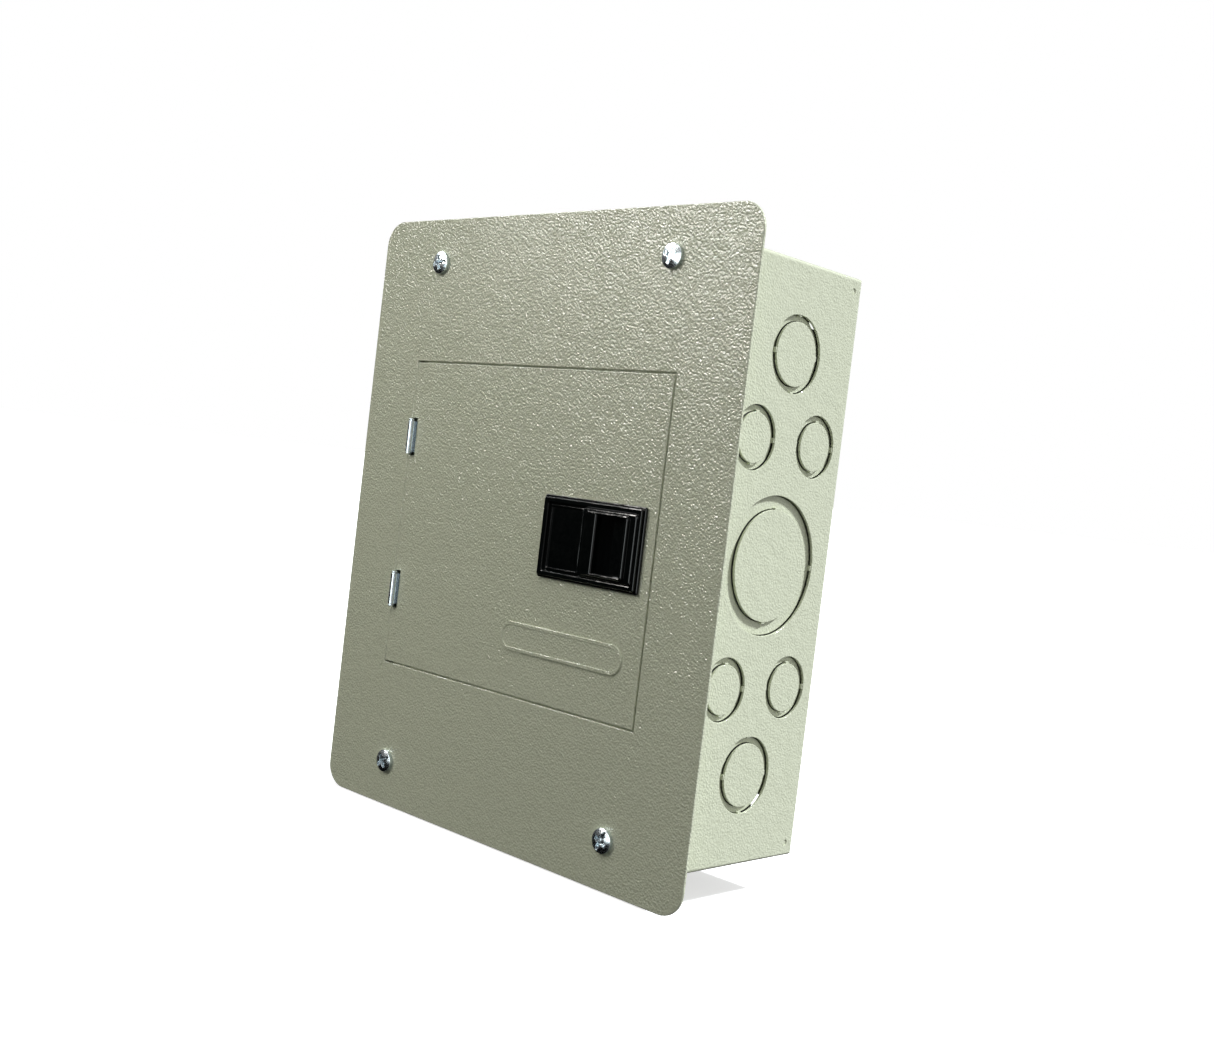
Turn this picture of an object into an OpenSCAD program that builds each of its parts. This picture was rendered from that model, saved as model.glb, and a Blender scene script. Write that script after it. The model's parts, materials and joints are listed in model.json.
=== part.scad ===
// Residential load center: a steel back box with knockouts, a flush trim cover with a hinged door,
// a recessed dead front, and a two-column plug-on interior for one-inch breakers.
//
// Frame: millimetres, origin at the centre of the box's back face, +X to the right as seen from
// the front, +Z up, and the front facing -Y. A "depth" is a distance in front of the back face,
// so a point at depth d has y = -d.

/* [Back box] */
// Width of the steel box
box_w = 237; // [234:0.5:239]
// Height of the steel box
box_h = 270; // [268:1:274]
// Depth of the steel box, back face to front edge
box_d = 86.5; // [86:0.25:88]
// Thickness of the box's sheet steel
sheet_t = 1.2; // [1:0.1:1.5]
// Outer radius of the folds
bend_r = 2; // [1.6:0.1:3]

/* [Knockouts] */
// Inner and outer diameters of the small knockouts, 1/2 and 3/4 inch conduit
ko_small = [22.2, 28.6];
// Inner and outer diameters of the medium knockouts, 3/4 and 1 inch conduit
ko_medium = [28.6, 34.9];
// Inner and outer diameters of the large knockouts, 1 1/2 and 2 inch conduit
ko_large = [50.2, 62.7];
// Width of the slit round each punched disc
ko_slit = 0.3; // [0.2:0.05:0.4]
// Width of the ties that hold each disc
ko_tie = 2.4; // [2:0.1:3]

/* [Mounting] */
// Distance between the mounting holes, side to side
mount_w = 190; // [186:1:196]
// Distance between the mounting holes, top to bottom
mount_h = 230; // [224:1:236]
// Diameter of the mounting holes
mount_hole = 7; // [5:0.5:8]

/* [Trim cover] */
// Width of the trim cover
trim_w = 254; // [248:1:260]
// Height of the trim cover
trim_h = 304; // [298:1:310]
// Thickness of the trim cover
trim_t = 1.5; // [1.4:0.1:1.6]
// Corner radius of the trim cover
trim_r = 12.5; // [8:0.5:16]
// Distance between the trim screws, side to side
screw_w = 158; // [150:1:166]

/* [Door] */
// Width of the door
door_w = 176.9; // [176.6:0.1:177.1]
// Height of the door
door_h = 156.2; // [154:0.2:158]
// Thickness of the door
door_t = 1.2; // [1:0.1:1.2]
// Gap round the door's top, bottom and latch side
door_gap = 0.8; // [0.6:0.1:1]
// Height of the hinge axis above the trim's face
hinge_proud = 1.9; // [1.8:0.05:2.1]
// Length of each hinge's rolled knuckle
knuckle_len = 16; // [14:0.5:18]

/* [Breakers] */
// Height of one breaker space
space_h = 25.4; // [25.2:0.1:25.6]
// Number of breaker rows in each column
rows = 4;
// Number of breakers fitted, the rest of the spaces being closed by filler plates
breakers = 6;
// Angle that each toggle turns from on to off
toggle_swing = 45; // [40:1:46]

/* [Latch] */
// How far the latch slides to let the door go
latch_travel = 8; // [6:0.5:8]

/* [Hidden] */
$fn = 64;
breaker_ids = [for (i = [1 : breakers]) i];
filler_ids = [for (i = [1 : 2 * rows - breakers]) i];

// Colours
paint = [0.78, 0.78, 0.71];
zinc = [0.76, 0.78, 0.80];
black = [0.05, 0.05, 0.06];
bare_steel = [0.62, 0.64, 0.66];
tinned = [0.80, 0.80, 0.78];
aluminium = [0.74, 0.75, 0.77];
phenolic = [0.13, 0.13, 0.14];
base_grey = [0.32, 0.33, 0.35];

// Small overlap that joins solids and clears cut faces
eps = 0.05;

// Front face of the trim, which the door and the latch share
face_d = box_d + trim_t;

// Knockout rows on the side walls, and the depth of their three columns
ko_mid_d = 44;
ko_side_step = 22.2;
ko_pair_z = 55;
ko_end_z = 94;
ko_drop = 1.9;
ko_top_x = 62;
ko_back = [55, 116];

// Lips at the top and bottom of the box's mouth, which take the trim screws
lip_len = 216;
lip_reach = 14;
lip_hole_r = 2.45;
weld_r = 1.3;
weld_deep = 0.35;
weld_inset = 6.5;

// Trim screws, number 10
screw_z = box_h / 2 - 5.6;
screw_shank_r = 2.4;
screw_head_r = 5.65;
screw_head_h = 3;
trim_hole_r = 2.9;
screw_turns = [12, -20, 35, 64];

// Door outline, hinged on its left edge
door_x0 = -89.2;
door_x1 = door_x0 + door_w;
door_seam = 0.3;
opening_x = [door_x0 - door_seam, door_x1 + door_gap];
opening_z = door_h / 2 + door_gap;
door_back = face_d - door_t;

// Raised plain panel on the door
plaque_x = 37;
plaque_z = -50;
plaque_w = 80;
plaque_h = 14;
plaque_proud = 0.8;
plaque_rim = 1.8;

// Hinges: a rolled leaf on the door turns on a pin held by a bracket on the trim
hinge_x = -87.2;
hinge_d = face_d + hinge_proud;
hinge_z = [39.5, -40.3];
roll_r = 1.65;
roll_bore_r = 0.85;
leaf_t = 0.8;
pin_r = 0.8;
ear_gap = 0.3;
ear_t = 0.8;
ear_r = 1.5;
stalk_w = 1;
seam_w = 0.25;
seam_turn = 38;
notch_clear = 0.7;
notch_x1 = hinge_x + roll_r + 0.7;
ear_z = knuckle_len / 2 + ear_gap;
notch_h = 2 * (ear_z + ear_t + notch_clear);
leaf_x1 = -74;
bracket_x = [-104, -90.5];
bracket_half = 12;

// Dead front: a pan welded behind the trim, with a window for each breaker column
pan_x = [-90, 84];
pan_z = 72;
pan_floor_d = 59.5;
pan_flange = [8, 14];
window_x = [9, 51];
window_z = rows * space_h / 2 + 0.4;
relief_w = 6;
relief_clear = 1.2;
strike_z = 9;
strike_d = 81.5;

// Latch, sunk through the door's latch side
bezel_x = [18.2, 82.2];
bezel_z = 19.4;
bezel_proud = 3;
bezel_body_x = [21, 80];
bezel_body_z = 17;
bezel_wall = 1.2;
latch_back_d = face_d - 6.5;
bezel_floor = [face_d + 0.2, face_d + 1.4];
latch_win_x = [22.3, 79.2];
latch_win_z = 16;
lens_x = [23.2, 44.8];
lens_z = 15.2;
lens_rim = 1.1;
lens_d = bezel_floor[1] + 0.6;
latch_clear = 0.15;
thumb_x = [45.6, 78.9];
thumb_z = 15.7;
thumb_rim_x = [48, 74.6];
thumb_rim_z = 14.6;
cup_x = [54.2, 73.4];
cup_z = 14;
cup_wall = 1.0;
cup_back_d = face_d - 4.6;
thumb_face_d = face_d + 3.4;
thumb_rim_d = face_d + 4.5;
bolt_d = [latch_back_d + 0.4, cup_back_d];
bolt_x = [50, 82];
bolt_z = 11;
tongue_x = [74, 87.5];
tongue_z = 8;
tongue_d = [cup_back_d - 0.6, box_d - 1.6];
spring_d = face_d - 3.2;
spring_r = 2.2;
spring_wire_r = 0.35;
spring_x = [22.5, 50];
spring_turns = 11;

// Interior: pan, insulating base, bus bars with stabs
interior_d = [6.8, 8];
interior_x = 80.7;
interior_z = [-65, 96];
foot_r = 6;
pan_screw_at = [[-66, -57], [66, -57], [-66, 80], [66, 80]];
hook_z = 51;
hook_d = [25.8, 27];
hook_reach = 3.9;
base_x = 24;
base_z = [-54, 95];
base_d = [interior_d[1], 18];
bus_x = [8, 20];
bus_z = [-50, 91];
bus_d = [base_d[1], 21];
stab_half = 12;
stab_t = 2;
stab_tip_d = 33;
stab_lift_d = 25;
lug_x = [6, 26];
lug_z = [66, 90];
lug_d = [bus_d[1], 43];
lug_wire_r = 6.2;
lug_wire_d = 32;
lug_screw_r = 4.6;

// Neutral and ground bars, below the breakers
bar_pitch = 10;
bar_wire_r = 2.6;
bar_screw_r = 2.2;
bar_head_r = 3.3;
bar_head_h = 2.4;
neutral_z = -88;
neutral_half = 57;
neutral_d = [16, 28];
neutral_count = 10;
ground_z = -114;
ground_half = 42;
ground_d = [4, 15];
ground_count = 7;
insulator_x = 50;

// Breakers, drawn for the right-hand column and mirrored for the left
case_h = space_h - 0.4;
case_x = [2.5, 78.5];
shoulder_d = 56;
mesa_x = [10, 50];
mesa_d = 64;
mesa_h = case_h - 0.2;
toggle_x = 24;
toggle_axis_d = 57;
hub_r = 6.8;
hub_clear = 0.4;
toggle_w = 8;
toggle_tip_d = 76.5;
trunnion_r = 1.5;
trunnion_bore_r = 1.55;
trunnion_half = 5.6;
jaw_x = [4.5, 11];
terminal_x = 68;
terminal_head_d = [44, 47];
terminal_head_r = 3.8;

// ---- shared shapes ----

// A block between two corners, each range as [low, high] and d as depth
module block(x, d, z) {
    translate([x[0], -d[1], z[0]])
        cube([x[1] - x[0], d[1] - d[0], z[1] - z[0]]);
}

// A flat outline, drawn as seen from the front, between two depths
module sheet(d) {
    translate([0, -d[0], 0])
        rotate([90, 0, 0])
            linear_extrude(d[1] - d[0])
                children();
}

// A round bar along Y at [x, z], along Z at [x, depth], or along X at [depth, z]
module rod_y(at, d, r) {
    translate([at[0], -d[0], at[1]])
        rotate([90, 0, 0])
            cylinder(r = r, h = d[1] - d[0]);
}

module rod_z(at, z, r) {
    translate([at[0], -at[1], z[0]])
        cylinder(r = r, h = z[1] - z[0]);
}

module rod_x(at, x, r) {
    translate([x[0], -at[0], at[1]])
        rotate([0, 90, 0])
            cylinder(r = r, h = x[1] - x[0]);
}

// A rectangle with round corners between two corners
module round_rect(x, y, r) {
    translate([x[0] + r, y[0]])
        square([x[1] - x[0] - 2 * r, y[1] - y[0]]);
    translate([x[0], y[0] + r])
        square([x[1] - x[0], y[1] - y[0] - 2 * r]);
    for (cx = [x[0] + r, x[1] - r])
        for (cy = [y[0] + r, y[1] - r])
            translate([cx, cy])
                circle(r);
}

// A side profile given as [x, depth] points, extruded along Z about the middle
module profile(points, width) {
    translate([0, 0, -width / 2])
        linear_extrude(width)
            polygon([for (p = points) [p[0], -p[1]]]);
}

// A screw along +Z with its head's underside at the origin, and a domed, slotted cross head
module cross_screw(head_r, head_h, shank_r, length) {
    dome_r = 2.4 * head_r;
    slot_w = 0.17 * head_r * 2;
    slot_deep = 0.5 * head_h;
    difference() {
        union() {
            intersection() {
                cylinder(r = head_r, h = head_h);
                translate([0, 0, head_h - dome_r])
                    sphere(dome_r);
            }
            translate([0, 0, -length])
                cylinder(r = shank_r, h = length + eps);
        }
        for (turn = [0, 90])
            rotate([0, 0, turn])
                translate([-0.62 * head_r, -slot_w / 2, head_h - 1.6 * slot_deep])
                    cube([1.24 * head_r, slot_w, head_h]);
        translate([-0.85 * head_r, -slot_w / 3, head_h - slot_deep])
            cube([1.7 * head_r, slot_w / 1.5, head_h]);
    }
}

// The same screw, pointing into the box at [x, z] with its head on depth d
module front_screw(at, d, turn, head_r, head_h, shank_r, length) {
    translate([at[0], -d, at[1]])
        rotate([90, 0, 0])
            rotate([0, 0, turn])
                cross_screw(head_r, head_h, shank_r, length);
}

// ---- knockouts ----

// A concentric knockout in a wall whose outer face is z = 0. Turn 0 ties the ring at its sides
// and the disc at its ends along x.
module knockout_hole(size) {
    translate([0, 0, -sheet_t - eps])
        cylinder(d = size[1], h = sheet_t + 2 * eps);
}

module knockout_plug(size, turn) {
    ring_top = -ko_drop;
    ring_low = ring_top - sheet_t;
    rotate([0, 0, turn]) {
        difference() {
            translate([0, 0, ring_low])
                cylinder(d = size[1] - ko_slit, h = sheet_t);
            translate([0, 0, ring_low - eps])
                cylinder(d = size[0] + ko_slit, h = sheet_t + 2 * eps);
        }
        translate([0, 0, -sheet_t - 0.1])
            cylinder(d = size[0], h = sheet_t);
        for (side = [-1, 1]) {
            translate([-ko_tie / 2, side * size[1] / 2 - 0.8, ring_low])
                cube([ko_tie, 1.6, -0.25 - ring_low]);
            translate([side * size[0] / 2 - 0.8, -ko_tie / 2, ring_low + 0.1])
                cube([1.6, ko_tie, -0.35 - ring_low]);
        }
    }
}

// Places a knockout's hole or plug on one wall: at [depth, height] on a side, [x, depth] on an end
module on_side(side, at) {
    translate([side * box_w / 2, -at[0], at[1]])
        rotate([0, side * 90, 0])
            children();
}

module on_end(side, at) {
    translate([at[0], -at[1], side * box_h / 2])
        rotate([side > 0 ? 0 : 180, 0, 0])
            children();
}

module on_back(at) {
    translate([at[0], 0, at[1]])
        rotate([-90, 0, 0])
            children();
}

// Every knockout of the box, as holes or as plugs
module knockouts(plug) {
    for (side = [-1, 1]) {
        on_side(side, [ko_mid_d, 0]) knockout(ko_large, 0, plug);
        for (up = [-1, 1]) {
            on_side(side, [ko_mid_d, up * ko_end_z]) knockout(ko_medium, 90, plug);
            for (deep = [-1, 1])
                on_side(side, [ko_mid_d + deep * ko_side_step, up * ko_pair_z])
                    knockout(ko_small, 0, plug);
        }
        on_end(side, [0, ko_mid_d]) knockout(ko_medium, 0, plug);
        for (across = [-1, 1])
            on_end(side, [across * ko_top_x, ko_mid_d]) knockout(ko_small, 90, plug);
        on_back([side * ko_back[0], ko_back[1]]) knockout(ko_small, 0, plug);
    }
}

module knockout(size, turn, plug) {
    if (plug)
        knockout_plug(size, turn);
    else
        knockout_hole(size);
}

// ---- enclosure ----

// A rectangle that is round at one end only, where the folds meet the back
module fold_profile(half, depth, r) {
    translate([-half, 0])
        square([2 * half, depth - r]);
    translate([-half + r, 0])
        square([2 * half - 2 * r, depth]);
    for (side = [-1, 1])
        translate([side * (half - r), depth - r])
            circle(r);
}

// The box's outer or inner form, grown inward by t with folds of radius r
module box_form(t, r) {
    half_w = box_w / 2 - t;
    half_h = box_h / 2 - t;
    intersection() {
        translate([0, -box_d, -half_h])
            linear_extrude(2 * half_h)
                fold_profile(half_w, box_d - t, r);
        translate([-half_w, -box_d, 0])
            rotate([90, 0, 90])
                linear_extrude(2 * half_w)
                    fold_profile_upright(half_h, box_d - t, r);
        sheet([t, box_d])
            round_rect([-half_w, half_w], [-half_h, half_h], r);
    }
}

module fold_profile_upright(half, depth, r) {
    rotate([0, 0, -90])
        mirror([1, 0])
            fold_profile(half, depth, r);
}

module back_box() {
    color(paint) {
        difference() {
            box_form(0, bend_r);
            difference() {
                box_form(sheet_t, bend_r - sheet_t / 2);
                for (end = [-1, 1])
                    lip(end);
            }
            sheet([box_d - eps, box_d + 1])
                square([box_w - 2 * sheet_t, 2 * (screw_z - lip_reach + 5.6)], center = true);
            knockouts(false);
            for (x = [-1, 1])
                for (z = [-1, 1]) {
                    rod_y([x * mount_w / 2, z * mount_h / 2], [-1, sheet_t + 1], mount_hole / 2);
                    rod_y([x * screw_w / 2, z * screw_z], [box_d - 3, box_d + 1], lip_hole_r);
                    on_side(x, [weld_inset, z * (box_h / 2 - weld_inset)])
                        translate([0, 0, -weld_deep])
                            cylinder(r = weld_r, h = 1);
                }
        }
        knockouts(true);
    }
}

// One inward lip at the mouth of the box
module lip(end) {
    edge = box_h / 2;
    z = end > 0 ? [edge - lip_reach, edge] : [-edge, -edge + lip_reach];
    block([-lip_len / 2, lip_len / 2], [box_d - sheet_t, box_d + 1], z);
}

module trim_cover() {
    color(paint)
        difference() {
            sheet([box_d, face_d])
                difference() {
                    round_rect([-trim_w / 2, trim_w / 2], [-trim_h / 2, trim_h / 2], trim_r);
                    translate([opening_x[0], -opening_z])
                        square([opening_x[1] - opening_x[0], 2 * opening_z]);
                    for (x = [-1, 1])
                        for (z = [-1, 1])
                            translate([x * screw_w / 2, z * screw_z])
                                circle(trim_hole_r);
                }
            for (at = [[door_x0 - 1.3, opening_z + 4.1], [door_x0 - 1.8, -opening_z - 2.6]])
                rod_y(at, [face_d - weld_deep, face_d + 1], weld_r);
        }
}

module trim_screws() {
    color(zinc)
        for (i = [0 : 3]) {
            x = i % 2 == 0 ? -1 : 1;
            z = i < 2 ? 1 : -1;
            at = [x * screw_w / 2, z * screw_z];
            front_screw(at, face_d, screw_turns[i], screw_head_r, screw_head_h, screw_shank_r, 12);
        }
}

// A tray welded behind the trim: a flange, four walls and a floor with two breaker windows
module deadfront_pan() {
    flange_x = [pan_x[0] - pan_flange[0], pan_x[1] + pan_flange[1]];
    flange_z = pan_z + pan_flange[1];
    wall_x = [pan_x[0] - sheet_t, pan_x[1] + sheet_t];
    wall_z = pan_z + sheet_t;
    color(paint)
        difference() {
            union() {
                block(flange_x, [box_d - sheet_t, box_d], [-flange_z, flange_z]);
                block(wall_x, [pan_floor_d, box_d], [-wall_z, wall_z]);
            }
            block(pan_x, [pan_floor_d + sheet_t, box_d + 1], [-pan_z, pan_z]);
            for (side = [-1, 1]) {
                window = side > 0 ? window_x : [-window_x[1], -window_x[0]];
                block(window, [pan_floor_d - 1, pan_floor_d + 2], [-window_z, window_z]);
            }
            for (z = hinge_z)
                block([bracket_x[0] - 1, pan_x[0] + eps], [box_d - sheet_t - eps, box_d + 1],
                      [z - bracket_half - 1, z + bracket_half + 1]);
            for (end = [-1, 1])
                door_relief(end);
            block([pan_x[1] - 1, pan_x[1] + sheet_t + 1], [strike_d, box_d - sheet_t],
                  [-strike_z, strike_z]);
        }
}

// Room for a hinge-side corner of the door, which dips behind the trim as it turns
module door_relief(end) {
    low = pan_z - 1;
    high = door_h / 2 + relief_clear;
    block([pan_x[0], pan_x[0] + relief_w], [box_d - sheet_t - eps, box_d + 1],
          end > 0 ? [low, high] : [-high, -low]);
}

module filler_plate(i) {
    side = i % 2 == 1 ? -1 : 1;
    row = rows - 1;
    z = row_z(row);
    plug = [window_x[0] + 0.4, window_x[1] - 0.4];
    floor_face = pan_floor_d + sheet_t;
    color(phenolic)
        scale_side(side)
            difference() {
                union() {
                    block([window_x[0] - 1.5, window_x[1] + 1.5], [floor_face, floor_face + 1.2],
                          [z - case_h / 2 - 1.4, z + case_h / 2]);
                    block(plug, [pan_floor_d - 2, floor_face + eps], [z - case_h / 2 + 0.2, z + case_h / 2]);
                }
                block([plug[0] + 1.5, plug[1] - 1.5], [pan_floor_d - 3, floor_face - 0.2],
                      [z - case_h / 2 + 1.7, z + case_h / 2 - 1.5]);
            }
}

// ---- door and hinges ----

module door() {
    color(paint)
        difference() {
            union() {
                block([door_x0, door_x1], [door_back, face_d], [-door_h / 2, door_h / 2]);
                sheet([face_d - eps, face_d + plaque_proud])
                    plaque_outline(0);
            }
            sheet([face_d + plaque_proud / 2, face_d + plaque_proud + 1])
                plaque_outline(plaque_rim);
            block([bezel_body_x[0] - 0.2, bezel_body_x[1] + 0.2], [door_back - 1, face_d + 1],
                  [-bezel_body_z - 0.2, bezel_body_z + 0.2]);
            for (z = hinge_z)
                block([door_x0 - 1, notch_x1], [door_back - 1, face_d + 1],
                      [z - notch_h / 2, z + notch_h / 2]);
        }
}

module plaque_outline(inset) {
    half_w = plaque_w / 2 - inset;
    half_h = plaque_h / 2 - inset;
    round_rect([plaque_x - half_w, plaque_x + half_w], [plaque_z - half_h, plaque_z + half_h], half_h - eps);
}

module circuit_card() {
    color([0.95, 0.95, 0.93])
        block([-68, 12], [door_back - 0.25, door_back], [-62, 62]);
}

// A leaf behind the door's edge that comes forward through the notch and rolls round the pin,
// leaving a narrow seam where the roll ends
module hinge_leaf(z) {
    left = hinge_x - roll_r;
    translate([0, 0, z])
        color(zinc)
            difference() {
                union() {
                    rod_z([hinge_x, hinge_d], [-knuckle_len / 2, knuckle_len / 2], roll_r);
                    block([left, left + leaf_t], [door_back - leaf_t, hinge_d],
                          [-knuckle_len / 2, knuckle_len / 2]);
                    block([left, leaf_x1], [door_back - leaf_t, door_back],
                          [-knuckle_len / 2, knuckle_len / 2]);
                }
                rod_z([hinge_x, hinge_d], [-knuckle_len / 2 - 1, knuckle_len / 2 + 1], roll_bore_r);
                translate([hinge_x, -hinge_d, -knuckle_len / 2 - 1])
                    rotate([0, 0, -seam_turn])
                        translate([roll_bore_r / 2, -seam_w / 2, 0])
                            cube([roll_r, seam_w, knuckle_len + 2]);
            }
}

// A plate welded behind the trim, with two ears that come forward through the notch to the pin
module hinge_bracket(z) {
    translate([0, 0, z])
        color(zinc) {
            block(bracket_x, [box_d - leaf_t, box_d], [-bracket_half, bracket_half]);
            for (side = [-1, 1])
                bracket_ear(side > 0 ? ear_z : -ear_z - ear_t);
        }
}

module bracket_ear(z) {
    stalk_x = [hinge_x - ear_r, hinge_x - ear_r + stalk_w];
    difference() {
        union() {
            rod_z([hinge_x, hinge_d], [z, z + ear_t], ear_r);
            block(stalk_x, [box_d - leaf_t, hinge_d], [z, z + ear_t]);
            block([bracket_x[1] - 1, stalk_x[1]], [box_d - leaf_t, box_d], [z, z + ear_t]);
        }
        rod_z([hinge_x, hinge_d], [z - 1, z + ear_t + 1], pin_r);
    }
}

module hinge_pin(z) {
    color(zinc)
        rod_z([hinge_x, hinge_d], [z - ear_z - ear_t, z + ear_z + ear_t], pin_r);
}

// ---- latch ----

// A frame on the door's face, a floor with a slot for the thumb cup, and a body behind the door.
// A low rim on the floor frames the plain field that the thumb piece slides over.
module latch_bezel() {
    step = 1.1;
    slot_x = [cup_x[0] - latch_travel - 0.2, cup_x[1] + 0.3];
    cavity_x = [bezel_body_x[0] + bezel_wall, bezel_body_x[1] - bezel_wall];
    cavity_z = bezel_body_z - bezel_wall;
    claw_d = [door_back - 1.8, door_back];
    color(black) {
        sheet([bezel_floor[1] - eps, lens_d])
            difference() {
                round_rect(lens_x, [-lens_z, lens_z], 0.8);
                lens_field();
            }
        difference() {
            union() {
                sheet([face_d, face_d + bezel_proud / 2])
                    round_rect(bezel_x, [-bezel_z, bezel_z], 1.2);
                sheet([face_d, face_d + bezel_proud])
                    round_rect([bezel_x[0] + step, bezel_x[1] - step], [-bezel_z + step, bezel_z - step], 1);
                block(bezel_body_x, [latch_back_d, face_d + eps], [-bezel_body_z, bezel_body_z]);
                for (x = [30, 66])
                    block([x, x + 6], claw_d, [-bezel_body_z - 1.2, bezel_body_z + 1.2]);
            }
            sheet([bezel_floor[1], face_d + bezel_proud + 1])
                round_rect(latch_win_x, [-latch_win_z, latch_win_z], 0.8);
            block(cavity_x, [latch_back_d - 1, bezel_floor[0]], [-cavity_z, cavity_z]);
            block(slot_x, [bezel_floor[0] - 1, bezel_floor[1] + 1], [-cup_z - 0.3, cup_z + 0.3]);
            block([cavity_x[1] - 1, bezel_body_x[1] + 1], [latch_back_d - 1, tongue_d[1] + 0.4],
                  [-tongue_z - 0.4, tongue_z + 0.4]);
        }
    }
}

module lens_field() {
    across = [lens_x[0] + lens_rim, lens_x[1] - lens_rim];
    up = lens_z - lens_rim;
    round_rect(across, [-up, up], 0.5);
}

// The thumb piece: a block on the bezel's floor with a raised rim round a deep finger cup
module latch_slider() {
    inner_x = [cup_x[0] + cup_wall, cup_x[1] - cup_wall];
    inner_z = cup_z - cup_wall;
    finger_x = 62.2;
    color(black)
        difference() {
            union() {
                sheet([lens_d + latch_clear, thumb_face_d])
                    round_rect(thumb_x, [-thumb_z, thumb_z], 1.6);
                sheet([thumb_face_d - eps, thumb_rim_d])
                    round_rect(thumb_rim_x, [-thumb_rim_z, thumb_rim_z], 2);
                block(cup_x, [cup_back_d, thumb_face_d], [-cup_z, cup_z]);
            }
            block([inner_x[0], finger_x], [cup_back_d + cup_wall, thumb_rim_d + 1], [-inner_z, inner_z]);
            block([finger_x - eps, inner_x[1]], [cup_back_d + 4.4, thumb_rim_d + 1], [-inner_z, inner_z]);
        }
}

// The bolt behind the cup: a plate with a spring post and a tongue that hooks behind the dead front
module latch_bolt() {
    post_x = [bolt_x[0], bolt_x[0] + 1.5];
    nose = [
        [tongue_x[0], tongue_d[0]],
        [tongue_x[1] - 3.2, tongue_d[0]],
        [tongue_x[1], tongue_d[1] - 0.7],
        [tongue_x[1], tongue_d[1]],
        [tongue_x[0], tongue_d[1]]
    ];
    color(black) {
        block([bolt_x[0], tongue_x[0] + 4], bolt_d, [-bolt_z, bolt_z]);
        block(post_x, [bolt_d[0], face_d - 0.6], [-4, 4]);
        rod_x([spring_d, 0], [post_x[0] - 5, post_x[0] + eps], 1.2);
        profile(nose, 2 * tongue_z);
    }
}

// A plain compression spring, as a row of rings joined by a thin backbone
module latch_spring() {
    pitch = (spring_x[1] - spring_x[0] - 2 * spring_wire_r) / spring_turns;
    color(zinc) {
        for (i = [0 : spring_turns])
            translate([spring_x[0] + spring_wire_r + i * pitch, -spring_d, 0])
                rotate([0, 90, 0])
                    rotate_extrude()
                        translate([spring_r - spring_wire_r, 0])
                            circle(spring_wire_r, $fn = 16);
        rod_x([spring_d + spring_r - spring_wire_r, 0],
              [spring_x[0] + spring_wire_r, spring_x[1] - spring_wire_r], spring_wire_r * 0.8);
    }
}

// ---- interior ----

module interior_pan() {
    color(bare_steel)
        difference() {
            union() {
                block([-interior_x, interior_x], interior_d, interior_z);
                for (side = [-1, 1])
                    scale_side(side) {
                        block([interior_x - sheet_t, interior_x], [interior_d[0], hook_d[1]], [-hook_z, hook_z]);
                        block([interior_x - hook_reach, interior_x], hook_d, [-hook_z, hook_z]);
                    }
                for (at = pan_screw_at)
                    rod_y(at, [sheet_t, interior_d[1]], foot_r);
            }
            for (at = pan_screw_at)
                rod_y(at, [sheet_t - 1, interior_d[1] + 1], bar_screw_r + 0.05);
        }
}

module pan_screws() {
    color(zinc)
        for (at = pan_screw_at)
            front_screw(at, interior_d[1], at[1], 4.4, 2.6, bar_screw_r, 6.2);
}

module insulating_base() {
    rib_d = 22.6;
    color(base_grey) {
        block([-base_x, base_x], base_d, base_z);
        for (i = [0 : rows - 2])
            block([-bus_x[0] + 1.5, bus_x[0] - 1.5], [base_d[0], rib_d],
                  [(row_z(i) + row_z(i + 1)) / 2 - 1, (row_z(i) + row_z(i + 1)) / 2 + 1]);
        block([-1.5, 1.5], [base_d[0], 40], [lug_z[0] - 4, base_z[1]]);
    }
}

// Height of a breaker row, counted from the top
function row_z(row) = ((rows - 1) / 2 - row) * space_h;

// A bus bar with a stab on every second row; the stab reaches over its neighbour
module bus_bar(side) {
    first_row = side < 0 ? 0 : 1;
    stab = [
        [-stab_half - 2, bus_d[1] - eps],
        [-bus_x[0], bus_d[1] - eps],
        [-bus_x[0] / 2, stab_lift_d],
        [stab_half, stab_lift_d],
        [stab_half, stab_tip_d],
        [-stab_half, stab_tip_d],
        [-stab_half - 2, stab_tip_d - 2]
    ];
    color(tinned)
        scale_side(-side) {
            block([-bus_x[1], -bus_x[0]], bus_d, bus_z);
            for (row = [first_row : 2 : rows - 1])
                translate([0, 0, row_z(row)])
                    profile(stab, stab_t);
        }
}

// Mirrors a shape drawn for the right-hand side when side is negative
module scale_side(side) {
    mirror([side < 0 ? 1 : 0, 0, 0])
        children();
}

module line_lug(side) {
    middle_x = (lug_x[0] + lug_x[1]) / 2;
    color(aluminium)
        scale_side(side)
            difference() {
                block(lug_x, lug_d, lug_z);
                rod_z([middle_x, lug_wire_d], [lug_z[0] - 1, lug_z[1] + 1], lug_wire_r);
                rod_y([middle_x, (lug_z[0] + lug_z[1]) / 2], [lug_wire_d, lug_d[1] + 1], lug_screw_r + 0.05);
            }
}

module lug_screws() {
    middle_x = (lug_x[0] + lug_x[1]) / 2;
    middle_z = (lug_z[0] + lug_z[1]) / 2;
    color(aluminium)
        for (side = [-1, 1])
            translate([side * middle_x, -lug_d[1] + 4, middle_z])
                rotate([90, 0, 0])
                    difference() {
                        cylinder(r = lug_screw_r, h = 8);
                        translate([0, 0, 3])
                            rotate([0, 0, side * 20])
                                cylinder(r = 2.8, h = 6, $fn = 6);
                    }
}

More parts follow.
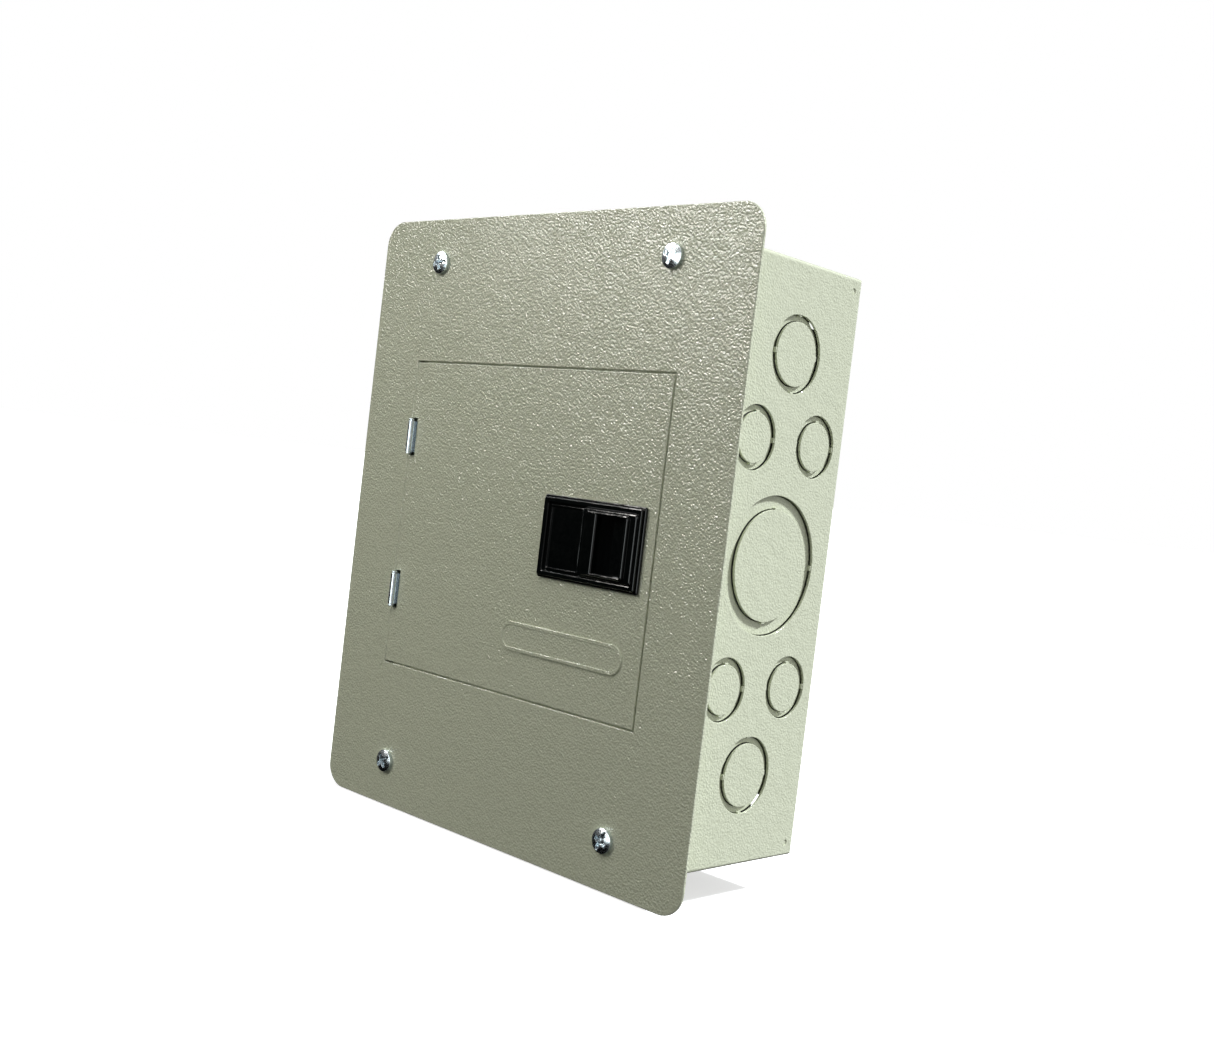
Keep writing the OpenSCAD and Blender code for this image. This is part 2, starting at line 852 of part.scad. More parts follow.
// A terminal bar along X with a row of wire holes, each with its own screw
module terminal_bar(z, half, d, count) {
    wire_d = d[0] + 4.4;
    difference() {
        block([-half, half], d, [z - 6, z + 6]);
        for (i = [0 : count - 1]) {
            x = (i - (count - 1) / 2) * bar_pitch;
            rod_z([x, wire_d], [z - 7, z + 7], bar_wire_r);
            rod_y([x, z], [wire_d, d[1] + 1], bar_screw_r + 0.05);
        }
    }
}

module terminal_screws(z, d, count) {
    for (i = [0 : count - 1])
        front_screw([(i - (count - 1) / 2) * bar_pitch, z], d[1] + 0.8, 37 * i, bar_head_r, bar_head_h,
                    bar_screw_r, 5.2);
}

module neutral_bar() {
    color(aluminium)
        terminal_bar(neutral_z, neutral_half, neutral_d, neutral_count);
}

module neutral_screws() {
    color(zinc)
        terminal_screws(neutral_z, neutral_d, neutral_count);
}

module neutral_insulator(side) {
    color(base_grey)
        scale_side(side) {
            block([insulator_x, insulator_x + 10], [sheet_t, neutral_d[0]], [neutral_z - 8, neutral_z + 8]);
            block([neutral_half, insulator_x + 10], [neutral_d[0] - eps, neutral_d[0] + 6],
                  [neutral_z - 8, neutral_z + 8]);
        }
}

module ground_bar() {
    color(aluminium) {
        terminal_bar(ground_z, ground_half, ground_d, ground_count);
        for (x = [-1, 1])
            rod_y([x * (ground_half - 5), ground_z], [sheet_t, ground_d[0] + eps], 4);
    }
}

module ground_screws() {
    color([0.25, 0.45, 0.30])
        terminal_screws(ground_z, ground_d, ground_count);
}

// ---- breakers ----

// Breakers are numbered down the panel, odd on the left and even on the right
function breaker_side(i) = i % 2 == 1 ? -1 : 1;
function breaker_z(i) = row_z(floor((i - 1) / 2));

module at_space(i) {
    translate([0, 0, breaker_z(i)])
        scale_side(breaker_side(i))
            children();
}

module breaker_case(i) {
    slot_half = 7.6;
    body = [
        [case_x[0], 37], [15, 37], [15, 23], [case_x[1], 23],
        [case_x[1], 25.4], [76, 25.4], [76, 27.6], [case_x[1], 27.6],
        [case_x[1], shoulder_d], [case_x[0], shoulder_d]
    ];
    color(phenolic)
        at_space(i)
            difference() {
                union() {
                    profile(body, case_h);
                    block(mesa_x, [shoulder_d - 1, mesa_d], [-mesa_h / 2, mesa_h / 2]);
                    block([case_x[0], 15], [23, 38], [-case_h / 2, -6]);
                    block([case_x[0], 15], [23, 38], [6, case_h / 2]);
                }
                block([toggle_x - slot_half, toggle_x + slot_half], [toggle_axis_d, mesa_d + 1],
                      [-toggle_w / 2 - 0.3, toggle_w / 2 + 0.3]);
                rod_z([toggle_x, toggle_axis_d], [-toggle_w / 2 - 0.3, toggle_w / 2 + 0.3], hub_r + hub_clear);
                rod_z([toggle_x, toggle_axis_d], [-trunnion_half - 0.2, trunnion_half + 0.2], trunnion_bore_r);
                rod_y([terminal_x, 0], [40, shoulder_d + 1], 4.6);
                block([case_x[1] - 12, case_x[1] + 1], [34, 42], [-4.5, 4.5]);
            }
}

// The toggle leans toward the panel's middle when it is on
module breaker_toggle(i) {
    lean = toggle_swing / 2;
    reach = toggle_tip_d - toggle_axis_d;
    color(black)
        at_space(i)
            translate([toggle_x, -toggle_axis_d, 0]) {
                translate([0, 0, -toggle_w / 2])
                    cylinder(r = hub_r, h = toggle_w);
                translate([0, 0, -trunnion_half])
                    cylinder(r = trunnion_r, h = 2 * trunnion_half);
                rotate([0, 0, -lean])
                    profile([[-2.9, 3], [2.9, 3], [2.1, reach], [-2.1, reach]], toggle_w - 0.6);
            }
}

// The spring jaw that grips a stab
module breaker_jaw(i) {
    leaf = [stab_t / 2 + 0.05, stab_t / 2 + 0.85];
    color(tinned)
        at_space(i) {
            for (side = [-1, 1])
                mirror([0, 0, side < 0 ? 1 : 0])
                    block(jaw_x, [27, 35.5], leaf);
            block(jaw_x, [35.5 - eps, 36.7], [-leaf[1], leaf[1]]);
        }
}

module breaker_terminal_screws() {
    color(zinc)
        for (i = breaker_ids)
            at_space(i)
                front_screw([terminal_x, 0], terminal_head_d[0], 50 * i, terminal_head_r,
                            terminal_head_d[1] - terminal_head_d[0], 2, 4);
}

back_box();
trim_cover();
trim_screws();
deadfront_pan();
door();
circuit_card();
hinge_leaf(hinge_z[0]);  // hinge_leaf_upper
hinge_leaf(hinge_z[1]);  // hinge_leaf_lower
hinge_bracket(hinge_z[0]);  // hinge_bracket_upper
hinge_bracket(hinge_z[1]);  // hinge_bracket_lower
hinge_pin(hinge_z[0]);  // hinge_pin_upper
hinge_pin(hinge_z[1]);  // hinge_pin_lower
latch_bezel();
latch_slider();
latch_bolt();
latch_spring();
interior_pan();
pan_screws();
insulating_base();
bus_bar(-1);  // bus_bar_a
bus_bar(1);  // bus_bar_b
line_lug(-1);  // line_lug_a
line_lug(1);  // line_lug_b
lug_screws();
neutral_bar();
neutral_insulator(-1);  // neutral_insulator_left
neutral_insulator(1);  // neutral_insulator_right
neutral_screws();
ground_bar();
ground_screws();
breaker_terminal_screws();
for (i = filler_ids)
    filler_plate(i);
for (i = breaker_ids) {
    breaker_case(i);
    breaker_toggle(i);
    breaker_jaw(i);
}
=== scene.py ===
"""Looks of the residential load center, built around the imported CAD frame."""
import json
import math

import bmesh
import bpy
from mathutils import Matrix, Vector


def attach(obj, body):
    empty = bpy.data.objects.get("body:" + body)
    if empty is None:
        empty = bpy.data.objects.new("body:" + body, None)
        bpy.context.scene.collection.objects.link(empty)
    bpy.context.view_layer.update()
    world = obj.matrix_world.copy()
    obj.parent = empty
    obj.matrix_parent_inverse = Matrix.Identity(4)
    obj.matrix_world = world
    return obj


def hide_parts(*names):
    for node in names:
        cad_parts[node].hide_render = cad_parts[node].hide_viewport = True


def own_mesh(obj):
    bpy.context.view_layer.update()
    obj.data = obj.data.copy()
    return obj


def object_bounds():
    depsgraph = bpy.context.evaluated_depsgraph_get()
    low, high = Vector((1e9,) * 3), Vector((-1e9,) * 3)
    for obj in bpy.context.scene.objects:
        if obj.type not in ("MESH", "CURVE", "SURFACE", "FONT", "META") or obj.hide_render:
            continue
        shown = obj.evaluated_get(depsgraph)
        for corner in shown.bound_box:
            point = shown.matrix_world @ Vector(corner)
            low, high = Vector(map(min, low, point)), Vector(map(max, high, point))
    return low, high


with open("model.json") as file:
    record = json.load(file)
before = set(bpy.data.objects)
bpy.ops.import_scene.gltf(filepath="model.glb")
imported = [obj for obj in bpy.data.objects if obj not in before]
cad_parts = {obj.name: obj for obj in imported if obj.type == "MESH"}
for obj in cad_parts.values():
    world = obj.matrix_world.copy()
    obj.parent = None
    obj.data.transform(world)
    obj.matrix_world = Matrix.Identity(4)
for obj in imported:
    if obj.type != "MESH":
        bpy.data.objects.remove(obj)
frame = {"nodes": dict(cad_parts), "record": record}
cad_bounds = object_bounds()
MM = 0.001


# ---------------------------------------------------------------- shader helpers

class Shader:
    """A node material with one Principled surface, and short calls for the usual nodes."""

    def __init__(self, name, color, roughness, metallic=0.0, specular=0.5):
        self.material = bpy.data.materials.new(name)
        self.material.use_nodes = True
        self.tree = self.material.node_tree
        self.surface = self.tree.nodes["Principled BSDF"]
        self.set(self.surface, "Base Color", (*color, 1.0))
        self.set(self.surface, "Roughness", roughness)
        self.set(self.surface, "Metallic", metallic)
        self.set(self.surface, "Specular IOR Level", specular)
        self.place = self.node("ShaderNodeTexCoord").outputs["Object"]

    def node(self, kind, **settings):
        """A new node of a kind, with its settings."""
        made = self.tree.nodes.new(kind)
        for key, value in settings.items():
            setattr(made, key, value)
        return made

    def set(self, node, socket, value):
        """Gives a node's input a fixed value, or links another node's output to it."""
        if isinstance(value, bpy.types.NodeSocket):
            self.tree.links.new(value, node.inputs[socket])
        else:
            node.inputs[socket].default_value = value

    def stretched(self, scale):
        """The object's own coordinates, scaled unevenly for brushed or drawn grain."""
        mapping = self.node("ShaderNodeMapping")
        self.set(mapping, "Vector", self.place)
        self.set(mapping, "Scale", scale)
        return mapping.outputs["Vector"]

    def noise(self, size, detail=2.0, roughness=0.5, distortion=0.0, vector=None):
        """Noise whose features are about size metres across."""
        made = self.node("ShaderNodeTexNoise")
        self.set(made, "Vector", vector or self.place)
        self.set(made, "Scale", 1.0 / size)
        self.set(made, "Detail", detail)
        self.set(made, "Roughness", roughness)
        self.set(made, "Distortion", distortion)
        return made.outputs["Fac"]

    def cells(self, size, smooth=0.5, feature="SMOOTH_F1", output="Distance"):
        """Voronoi cells about size metres across."""
        made = self.node("ShaderNodeTexVoronoi", feature=feature)
        self.set(made, "Vector", self.place)
        self.set(made, "Scale", 1.0 / size)
        if feature == "SMOOTH_F1":
            self.set(made, "Smoothness", smooth)
        return made.outputs[output]

    def math(self, operation, first, second=0.5, third=0.0):
        """One arithmetic step on up to three values."""
        made = self.node("ShaderNodeMath", operation=operation)
        self.set(made, 0, first)
        self.set(made, 1, second)
        self.set(made, 2, third)
        return made.outputs["Value"]

    def ramp(self, value, low, high, to_low=0.0, to_high=1.0):
        """Maps low..high to to_low..to_high, held flat outside that span."""
        made = self.node("ShaderNodeMapRange", interpolation_type="SMOOTHSTEP")
        for key, number in (("From Min", low), ("From Max", high), ("To Min", to_low), ("To Max", to_high)):
            self.set(made, key, number)
        self.set(made, "Value", value)
        return made.outputs["Result"]

    def tint(self, amount, low, high):
        """A colour between low and high by amount, which drives the base colour."""
        made = self.node("ShaderNodeMix", data_type="RGBA")
        self.set(made, "Factor", amount)
        made.inputs[6].default_value = (*low, 1.0)
        made.inputs[7].default_value = (*high, 1.0)
        self.set(self.surface, "Base Color", made.outputs[2])
        return made.outputs[2]

    def tint_over(self, base, amount, color):
        """Lays another colour over an earlier tint."""
        made = self.node("ShaderNodeMix", data_type="RGBA")
        self.set(made, "Factor", amount)
        self.tree.links.new(base, made.inputs[6])
        made.inputs[7].default_value = (*color, 1.0)
        self.set(self.surface, "Base Color", made.outputs[2])
        return made.outputs[2]

    def bump(self, height, depth, before=None):
        """Raises the surface by height times depth metres."""
        made = self.node("ShaderNodeBump")
        self.set(made, "Height", height)
        self.set(made, "Distance", depth)
        self.set(made, "Strength", 1.0)
        if before is not None:
            self.set(made, "Normal", before)
        self.set(self.surface, "Normal", made.outputs["Normal"])
        return made.outputs["Normal"]

    def roughness(self, value, low, high):
        """A roughness between low and high, by the middle half of value."""
        self.set(self.surface, "Roughness", self.ramp(value, 0.25, 0.75, low, high))


# ---------------------------------------------------------------- materials

# The coat is heaviest in front of the first depth, on the trim and door, and lightest behind the second
HEAVY_COAT_Y, LIGHT_COAT_Y = -86.7 * MM, -86.3 * MM
LIGHT_COAT = 0.55
GRAIN, PEBBLE = 0.92 * MM, 1.05 * MM


def powder_coat():
    """Greige powder coat with an orange-peel texture of small glossy grains, heavier on the trim and door;
    the hollows between grains are painted darker as shade.
    """
    light = (0.625, 0.662, 0.508)
    hollow_shade_color = (0.570, 0.605, 0.455)
    shader = Shader("painted_steel", light, 0.16)
    cloud = shader.noise(70 * MM, detail=2.0)
    grains = shader.noise(GRAIN, detail=0.8, roughness=0.4, distortion=0.1)
    pebbles = shader.cells(PEBBLE)
    coarse = shader.math("MULTIPLY_ADD", pebbles, -0.8, grains)
    swell = shader.noise(6 * MM, detail=0.5)
    split = shader.node("ShaderNodeSeparateXYZ")
    shader.set(split, "Vector", shader.place)
    thick = shader.ramp(split.outputs["Y"], HEAVY_COAT_Y, LIGHT_COAT_Y, 1.0, LIGHT_COAT)
    peel = shader.bump(shader.math("MULTIPLY", coarse, thick), 0.00028)
    shader.bump(swell, 0.00020, before=peel)
    # Painted shade: the hollows between grains get a darker colour, as if shade fell in them.
    painted_valley_shade = shader.ramp(coarse, -0.1, 0.25)
    base = shader.tint(painted_valley_shade, hollow_shade_color, light)
    shader.tint_over(base, shader.ramp(cloud, 0.3, 0.8, 0.0, 0.25), (0.612, 0.642, 0.498))
    shader.roughness(grains, 0.12, 0.07)
    return shader.material


def zinc_plate():
    """Bright zinc plating: bluish, faintly mottled, with fine scratches."""
    shader = Shader("zinc_plate", (0.66, 0.70, 0.74), 0.26, metallic=1.0)
    mottle = shader.noise(1.6 * MM, detail=3.0)
    shader.tint(mottle, (0.56, 0.63, 0.67), (0.80, 0.85, 0.87))
    scratches = shader.noise(1.0 * MM, detail=4.0, vector=shader.stretched((6.0, 6.0, 0.7)))
    shader.roughness(scratches, 0.14, 0.3)
    shader.bump(scratches, 0.00002)
    return shader.material


def gloss_black():
    """Polished black moulding with a slight ripple and a few rubbed patches."""
    shader = Shader("black_plastic", (0.002, 0.002, 0.003), 0.08)
    ripple = shader.noise(8 * MM, detail=1.5)
    rub = shader.noise(2.5 * MM, detail=5.0, roughness=0.7)
    shader.tint(rub, (0.001, 0.002, 0.002), (0.003, 0.004, 0.004))
    shader.roughness(rub, 0.05, 0.16)
    shader.bump(ripple, 0.00015)
    return shader.material


def matt_plastic(name, color, grain=0.35 * MM):
    """Moulded plastic with a fine etched grain."""
    shader = Shader(name, color, 0.5)
    etched = shader.noise(grain, detail=2.0)
    cloud = shader.noise(14 * MM, detail=2.0)
    lighter = tuple(min(1.0, c * 1.3 + 0.01) for c in color)
    shader.tint(cloud, color, lighter)
    shader.roughness(cloud, 0.4, 0.58)
    shader.bump(etched, 0.00003)
    return shader.material


def galvanised():
    """Zinc-dipped sheet with its crystal spangle."""
    shader = Shader("galvanised_steel", (0.6, 0.62, 0.64), 0.4, metallic=1.0)
    spangle = shader.cells(9 * MM, feature="F1", output="Color")
    split = shader.node("ShaderNodeSeparateColor")
    shader.set(split, "Color", spangle)
    shader.tint(split.outputs["Red"], (0.42, 0.45, 0.48), (0.66, 0.68, 0.70))
    shader.roughness(split.outputs["Green"], 0.3, 0.5)
    shader.bump(shader.noise(1.2 * MM, detail=3.0), 0.00002)
    return shader.material


def bar_metal(name, dull, bright, drawn):
    """Drawn or extruded metal, with fine lines along one axis."""
    shader = Shader(name, bright, 0.32, metallic=1.0)
    lines = shader.noise(0.8 * MM, detail=4.0, vector=shader.stretched(drawn))
    shader.tint(lines, dull, bright)
    shader.roughness(lines, 0.24, 0.42)
    shader.bump(lines, 0.00002)
    return shader.material


def green_lacquer():
    """Green dyed plating on the grounding screws."""
    shader = Shader("green_screw", (0.05, 0.2, 0.08), 0.3, metallic=0.6)
    mottle = shader.noise(1.5 * MM, detail=3.0)
    shader.tint(mottle, (0.03, 0.14, 0.06), (0.08, 0.28, 0.12))
    shader.roughness(mottle, 0.22, 0.4)
    return shader.material


RULED_ROW, RULED_COLUMN, RULED_LINE = 12.4 * MM, 20 * MM, 0.22 * MM


def card_stock():
    """White card printed with a blank ruled grid."""
    shader = Shader("card", (0.86, 0.86, 0.82), 0.6)
    split = shader.node("ShaderNodeSeparateXYZ")
    shader.set(split, "Vector", shader.place)

    def ruled(axis, pitch):
        cycle = shader.math("PINGPONG", split.outputs[axis], pitch / 2)
        return shader.math("LESS_THAN", cycle, RULED_LINE)

    rows = ruled("Z", RULED_ROW)
    columns = ruled("X", RULED_COLUMN)
    base = shader.tint(shader.noise(4 * MM, detail=4.0), (0.80, 0.80, 0.75), (0.88, 0.88, 0.84))
    shader.tint_over(base, shader.math("MAXIMUM", rows, columns), (0.12, 0.13, 0.15))
    shader.bump(shader.noise(0.4 * MM, detail=3.0), 0.00002)
    return shader.material


def floor_paint():
    """White studio floor with a barely visible mottle."""
    shader = Shader("studio_floor", (0.93, 0.93, 0.93), 0.7, specular=0.2)
    shader.tint(shader.noise(0.4, detail=2.0), (0.92, 0.92, 0.92), (0.94, 0.94, 0.94))
    shader.set(shader.surface, "Emission Color", (1.0, 1.0, 1.0, 1.0))
    shader.set(shader.surface, "Emission Strength", 0.6)
    return shader.material


MATERIALS = {
    "painted_steel": powder_coat(),
    "zinc_plate": zinc_plate(),
    "black_plastic": gloss_black(),
    "galvanised_steel": galvanised(),
    "tinned_bar": bar_metal("tinned_bar", (0.60, 0.60, 0.58), (0.80, 0.80, 0.77), (5.0, 5.0, 0.3)),
    "aluminium_bar": bar_metal("aluminium_bar", (0.58, 0.59, 0.60), (0.80, 0.81, 0.82), (0.3, 5.0, 5.0)),
    "grey_insulation": matt_plastic("grey_insulation", (0.075, 0.080, 0.088)),
    "breaker_plastic": matt_plastic("breaker_plastic", (0.016, 0.016, 0.018), 0.5 * MM),
    "toggle_plastic": matt_plastic("toggle_plastic", (0.010, 0.010, 0.011), 0.8 * MM),
    "green_screw": green_lacquer(),
    "card": card_stock(),
    "spring_wire": bar_metal("spring_wire", (0.40, 0.40, 0.40), (0.62, 0.62, 0.62), (1.0, 4.0, 4.0)),
}
NODE_SLOT = {row["node"]: row["material_slot"] for row in frame["record"]["subparts"]}
NODE_BODY = {
    node: body
    for body, nodes in frame["record"]["behaviour"]["bodies"].items()
    for node in nodes
}


# ---------------------------------------------------------------- pieces from the frame

# Corners closer than this are one corner, and faces that turn less than this are one flat face
SAME_CORNER = 2e-6
FLAT_ANGLE = math.radians(0.6)
# An outer edge turns by more than this
EDGE_ANGLE = math.radians(32)
# Both faces of a rounded edge reach at least this many rounding widths away from it
LEAST_REACH = 1.25
ROUND_SEGMENTS = 3
# A depth behind the whole object
ANY_DEPTH = 1.0


def finish_piece(piece, node):
    """Gives a piece the material of its CAD node's slot and that node's body."""
    slot = NODE_SLOT[node]
    piece.data.materials.clear()
    piece.data.materials.append(MATERIALS[slot])
    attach(piece, NODE_BODY[node])
    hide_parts(node)


def narrow(face, edge, width):
    """Whether a face is too narrow beside an edge to be rounded to width."""
    start, end = (vert.co for vert in edge.verts)
    along = (end - start).normalized()
    reach = max((vert.co - start - along * along.dot(vert.co - start)).length for vert in face.verts)
    return reach < LEAST_REACH * width


def clean_copy(node, width, ahead_of):
    """A node's mesh with whole flat faces, and its outer edges ahead of a depth marked for rounding."""
    work = bmesh.new()
    work.from_mesh(frame["nodes"][node].data)
    bmesh.ops.remove_doubles(work, verts=work.verts, dist=SAME_CORNER)
    bmesh.ops.dissolve_limit(work, angle_limit=FLAT_ANGLE, verts=work.verts, edges=work.edges)
    mark = work.edges.layers.float.new("bevel_weight_edge")
    for edge in work.edges:
        turned = len(edge.link_faces) == 2 and edge.calc_face_angle(0.0) > EDGE_ANGLE
        rounded = (
            turned
            and edge.is_convex
            and all(vert.co.y < ahead_of for vert in edge.verts)
            and not any(narrow(face, edge, width) for face in edge.link_faces)
        )
        edge[mark] = 1.0 if rounded else 0.0
        edge.smooth = not turned or edge.is_convex
    mesh = bpy.data.meshes.new(node + "_form")
    work.to_mesh(mesh)
    work.free()
    return mesh


def soften(node, width, ahead_of):
    """A node's shape with its outer edges rounded to width, as paint, punching or moulding leaves them."""
    piece = bpy.data.objects.new(node + "_piece", clean_copy(node, width, ahead_of))
    bpy.context.scene.collection.objects.link(piece)
    bevel = piece.modifiers.new("round", "BEVEL")
    bevel.width = width
    bevel.segments = ROUND_SEGMENTS
    bevel.limit_method = "WEIGHT"
    bevel.use_clamp_overlap = False
    bevel.loop_slide = False
    bevel.miter_outer = "MITER_ARC"
    weighted = piece.modifiers.new("flats", "WEIGHTED_NORMAL")
    weighted.mode = "FACE_AREA"
    weighted.weight = 100
    weighted.keep_sharp = True
    bake_modifiers(piece)
    finish_piece(piece, node)


def bake_modifiers(piece):
    """Makes a piece's modified shape its mesh."""
    graph = bpy.context.evaluated_depsgraph_get()
    mesh = bpy.data.meshes.new_from_object(piece.evaluated_get(graph))
    piece.modifiers.clear()
    piece.data = mesh


# How wide each node's outer edges are rounded
EDGE = {
    "back_box": 0.22 * MM,
    "trim_cover": 0.45 * MM,
    "deadfront_pan": 0.3 * MM,
    "door": 0.3 * MM,
    "trim_screws": 0.18 * MM,
    "latch_bezel": 0.42 * MM,
    "latch_slider": 0.65 * MM,
    "latch_bolt": 0.2 * MM,
    "hinge_leaf_upper": 0.12 * MM,
    "hinge_leaf_lower": 0.12 * MM,
    "hinge_bracket_upper": 0.12 * MM,
    "hinge_bracket_lower": 0.12 * MM,
    "filler_plate_1": 0.3 * MM,
    "filler_plate_2": 0.3 * MM,
}
# Only the raised nose of a breaker and the handle of its toggle are rounded, ahead of these depths
AHEAD = {}
for name in frame["nodes"]:
    if name.startswith("breaker_case"):
        EDGE[name] = 0.35 * MM
        AHEAD[name] = -57 * MM
    if name.startswith("breaker_toggle"):
        EDGE[name] = 0.4 * MM
        AHEAD[name] = -67 * MM

# The latch's spring: its two ends, its axis, the radii of its wire and its coil, and its turns
SPRING_LEFT, SPRING_RIGHT = 22.5 * MM, 50 * MM
SPRING_Y = -84.8 * MM
WIRE = 0.35 * MM
COIL = 1.85 * MM
TURNS = 11
WIRE_SIDES = 10
STEPS_PER_TURN = 28


def coil_spring():
    """The latch's spring as a true helix."""
    steps = STEPS_PER_TURN * TURNS
    length = SPRING_RIGHT - SPRING_LEFT - 2 * WIRE
    climb = length / (2 * math.pi * TURNS)
    spots = [2 * math.pi * k / WIRE_SIDES for k in range(WIRE_SIDES)]
    work = bmesh.new()
    rings = []
    for i in range(steps + 1):
        share = i / steps
        turn = 2 * math.pi * TURNS * share
        out = Vector((0, math.cos(turn), math.sin(turn)))
        run = Vector((climb, -COIL * out.z, COIL * out.y)).normalized()
        side = run.cross(out)
        middle = Vector((SPRING_LEFT + WIRE + length * share, SPRING_Y, 0)) + out * COIL
        ring = [middle + (out * math.cos(a) + side * math.sin(a)) * WIRE for a in spots]
        rings.append([work.verts.new(spot) for spot in ring])
    for first, second in zip(rings, rings[1:]):
        for k in range(WIRE_SIDES):
            after = (k + 1) % WIRE_SIDES
            work.faces.new((first[k], first[after], second[after], second[k]))
    work.faces.new(rings[0])
    work.faces.new(list(reversed(rings[-1])))
    bmesh.ops.recalc_face_normals(work, faces=work.faces)
    mesh = bpy.data.meshes.new("latch_spring_coil")
    work.to_mesh(mesh)
    work.free()
    mesh.shade_smooth()
    piece = bpy.data.objects.new("latch_spring_coil", mesh)
    bpy.context.scene.collection.objects.link(piece)
    finish_piece(piece, "latch_spring")
    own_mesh(piece)


coil_spring()
for name, cad in frame["nodes"].items():
    if name == "latch_spring":
        continue
    if name in EDGE:
        soften(name, EDGE[name], AHEAD.get(name, ANY_DEPTH))
    else:
        for i in range(len(cad.material_slots)):
            cad.material_slots[i].material = MATERIALS[NODE_SLOT[name]]


# ---------------------------------------------------------------- studio

# Where the camera stands, where it looks, and which way is right in its picture
CAMERA_PLACE = (0.48945, -0.54407, 0.0306)
CAMERA_VIEW = (-0.68615, 0.72645, -0.03838)
CAMERA_RIGHT = (0.71869, 0.6851, 0.11881)
SENSOR_WIDTH, LENS = 36, 41.45634
FLOOR_RADIUS = 60.0
# The floor lies this far below the object
FLOOR_GAP = 0.5 * MM
# The world's light: the side that is brightest, its least and most, and where on the far side it is least
BRIGHT_SIDE = (0.5, 0.4, 0.75)
DIM, BRIGHT = 0.0, 0.65
DIM_FROM = -0.7
# Places that lights aim at
UPPER_DOOR = (0.05, -0.09, 0.08)
MIDDLE = (0.0, 0.0, 0.0)


def add_camera():
    """A camera in front of the panel and to its right, rolled a little, as the object is seen."""
    place = Vector(CAMERA_PLACE)
    forward = Vector(CAMERA_VIEW).normalized()
    right = Vector(CAMERA_RIGHT)
    right = (right - forward * right.dot(forward)).normalized()
    up = right.cross(forward)
    turn = Matrix((right, up, -forward)).transposed()
    camera = bpy.data.cameras.new("camera")
    camera.sensor_width = SENSOR_WIDTH
    camera.lens = LENS
    camera.clip_start = 0.01
    seen = bpy.data.objects.new("camera", camera)
    seen.matrix_world = Matrix.Translation(place) @ turn.to_4x4()
    bpy.context.scene.collection.objects.link(seen)
    bpy.context.scene.camera = seen


def add_light(name, place, aim, size, power, color, mirror_only=False):
    """A rectangular softbox that faces aim; a mirror-only one shows in gloss and adds no general light."""
    lamp = bpy.data.lights.new(name, "AREA")
    lamp.shape = "RECTANGLE"
    lamp.size, lamp.size_y = size
    lamp.energy = power
    lamp.color = color
    box = bpy.data.objects.new(name, lamp)
    box.location = place
    box.rotation_euler = (Vector(aim) - Vector(place)).to_track_quat("-Z", "Y").to_euler()
    box.visible_diffuse = not mirror_only
    bpy.context.scene.collection.objects.link(box)


def add_sun(toward, strength, angle, color):
    """A far light that shines from the direction toward."""
    lamp = bpy.data.lights.new("key", "SUN")
    lamp.energy = strength
    lamp.angle = math.radians(angle)
    lamp.color = color
    sun = bpy.data.objects.new("key", lamp)
    sun.rotation_euler = Vector(toward).to_track_quat("Z", "Y").to_euler()
    bpy.context.scene.collection.objects.link(sun)


def add_floor():
    """A wide white floor just under the panel, which shows but adds no light or reflection to it."""
    mesh = bpy.data.meshes.new("floor")
    work = bmesh.new()
    bmesh.ops.create_circle(work, cap_ends=True, segments=96, radius=FLOOR_RADIUS)
    work.to_mesh(mesh)
    work.free()
    floor = bpy.data.objects.new("floor", mesh)
    floor.location.z = cad_bounds[0][2] - FLOOR_GAP
    mesh.materials.append(floor_paint())
    bpy.context.scene.collection.objects.link(floor)
    floor.visible_diffuse = False
    floor.visible_glossy = False


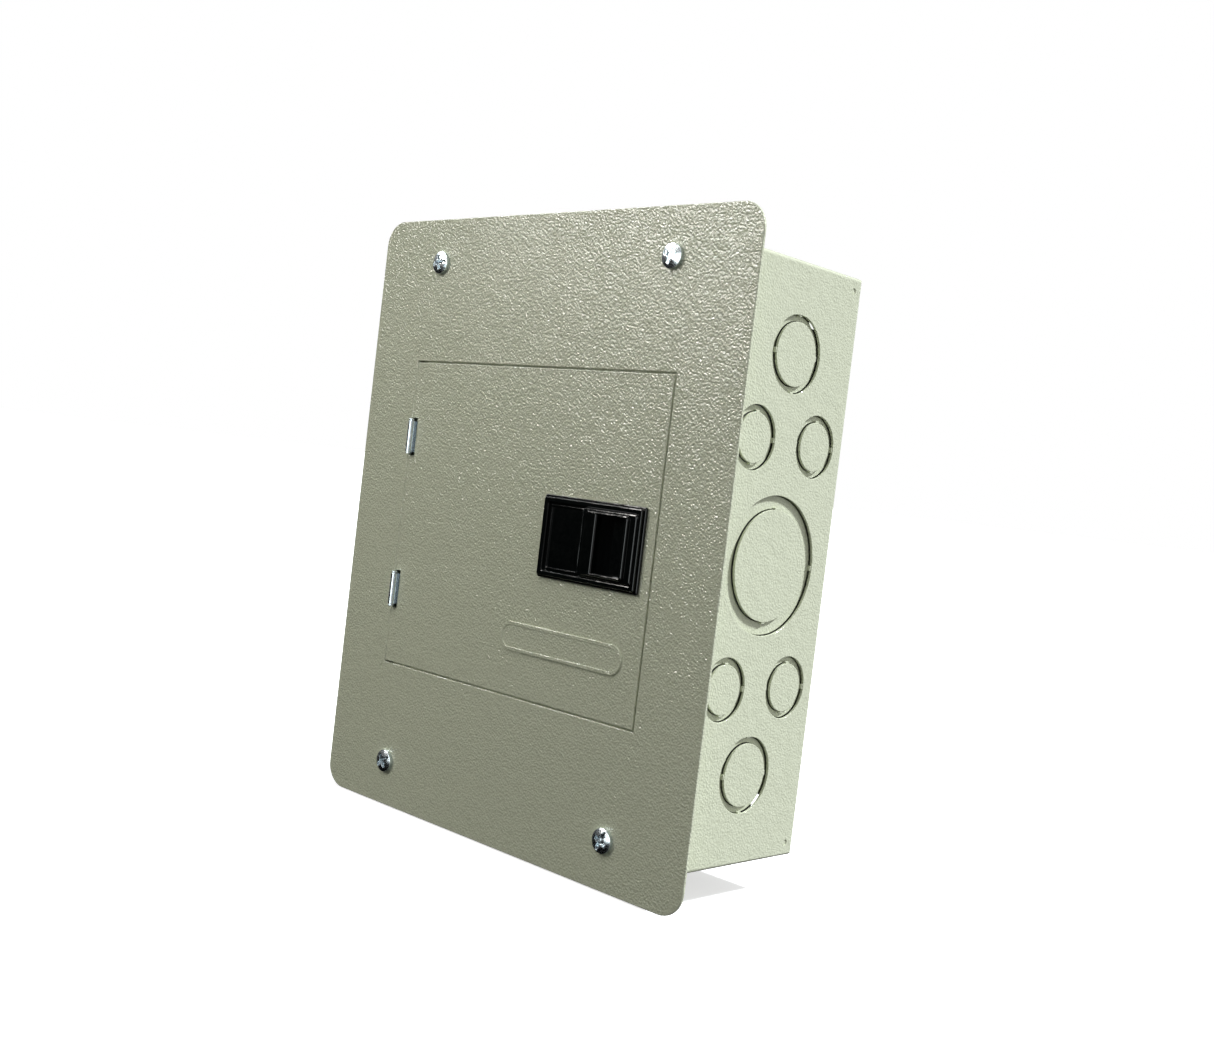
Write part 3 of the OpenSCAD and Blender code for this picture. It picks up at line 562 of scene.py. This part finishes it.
def add_world():
    """White to the eye; as a light, bright above and behind and dim in front on the left."""
    world = bpy.data.worlds.new("studio")
    world.use_nodes = True
    tree = world.node_tree
    background = tree.nodes["Background"]

    def node(kind, **inputs):
        made = tree.nodes.new(kind)
        for key, value in inputs.items():
            made.inputs[key].default_value = value
        return made

    aim = node("ShaderNodeTexCoord").outputs["Generated"]
    toward = node("ShaderNodeVectorMath")
    toward.operation = "DOT_PRODUCT"
    toward.inputs[1].default_value = Vector(BRIGHT_SIDE).normalized()
    tree.links.new(aim, toward.inputs[0])
    shade = node("ShaderNodeMapRange")
    for key, value in (("From Min", DIM_FROM), ("From Max", 1.0), ("To Min", DIM), ("To Max", BRIGHT)):
        shade.inputs[key].default_value = value
    tree.links.new(toward.outputs["Value"], shade.inputs["Value"])
    seen = node("ShaderNodeMix")
    seen.inputs["B"].default_value = 1.0
    tree.links.new(node("ShaderNodeLightPath").outputs["Is Camera Ray"], seen.inputs["Factor"])
    tree.links.new(shade.outputs["Result"], seen.inputs["A"])
    tree.links.new(seen.outputs["Result"], background.inputs["Strength"])
    background.inputs["Color"].default_value = (1.0, 1.0, 1.0, 1.0)
    bpy.context.scene.world = world


add_camera()
add_floor()
add_world()
add_sun(toward=(0.44, 0.54, 0.72), strength=4.8, angle=6, color=(0.97, 1.0, 1.04))
add_light(
    "front_softbox", (-0.60, -0.95, 0.50), UPPER_DOOR, size=(0.30, 0.34), power=4.1,
    color=(1.0, 0.965, 0.91),
)
add_light(
    "glint_softbox", (-0.60, -0.95, 0.49), UPPER_DOOR, size=(0.32, 0.34), power=4.6,
    color=(1.0, 0.965, 0.92), mirror_only=True,
)
add_light(
    "top_softbox", (0.05, -0.52, 0.62), (0.0, -0.09, 0.05), size=(0.4, 0.2), power=0.8,
    color=(1.0, 0.97, 0.93),
)
add_light(
    "edge_softbox", (-1.1, -0.56, 0.98), MIDDLE, size=(1.2, 0.3), power=26.0,
    color=(0.97, 1.0, 1.0), mirror_only=True,
)
add_light(
    "barrel_softbox", (0.30, -1.50, 0.10), MIDDLE, size=(1.3, 0.9), power=10.0,
    color=(0.93, 1.0, 1.0), mirror_only=True,
)
bpy.context.scene.view_settings.view_transform = "Standard"
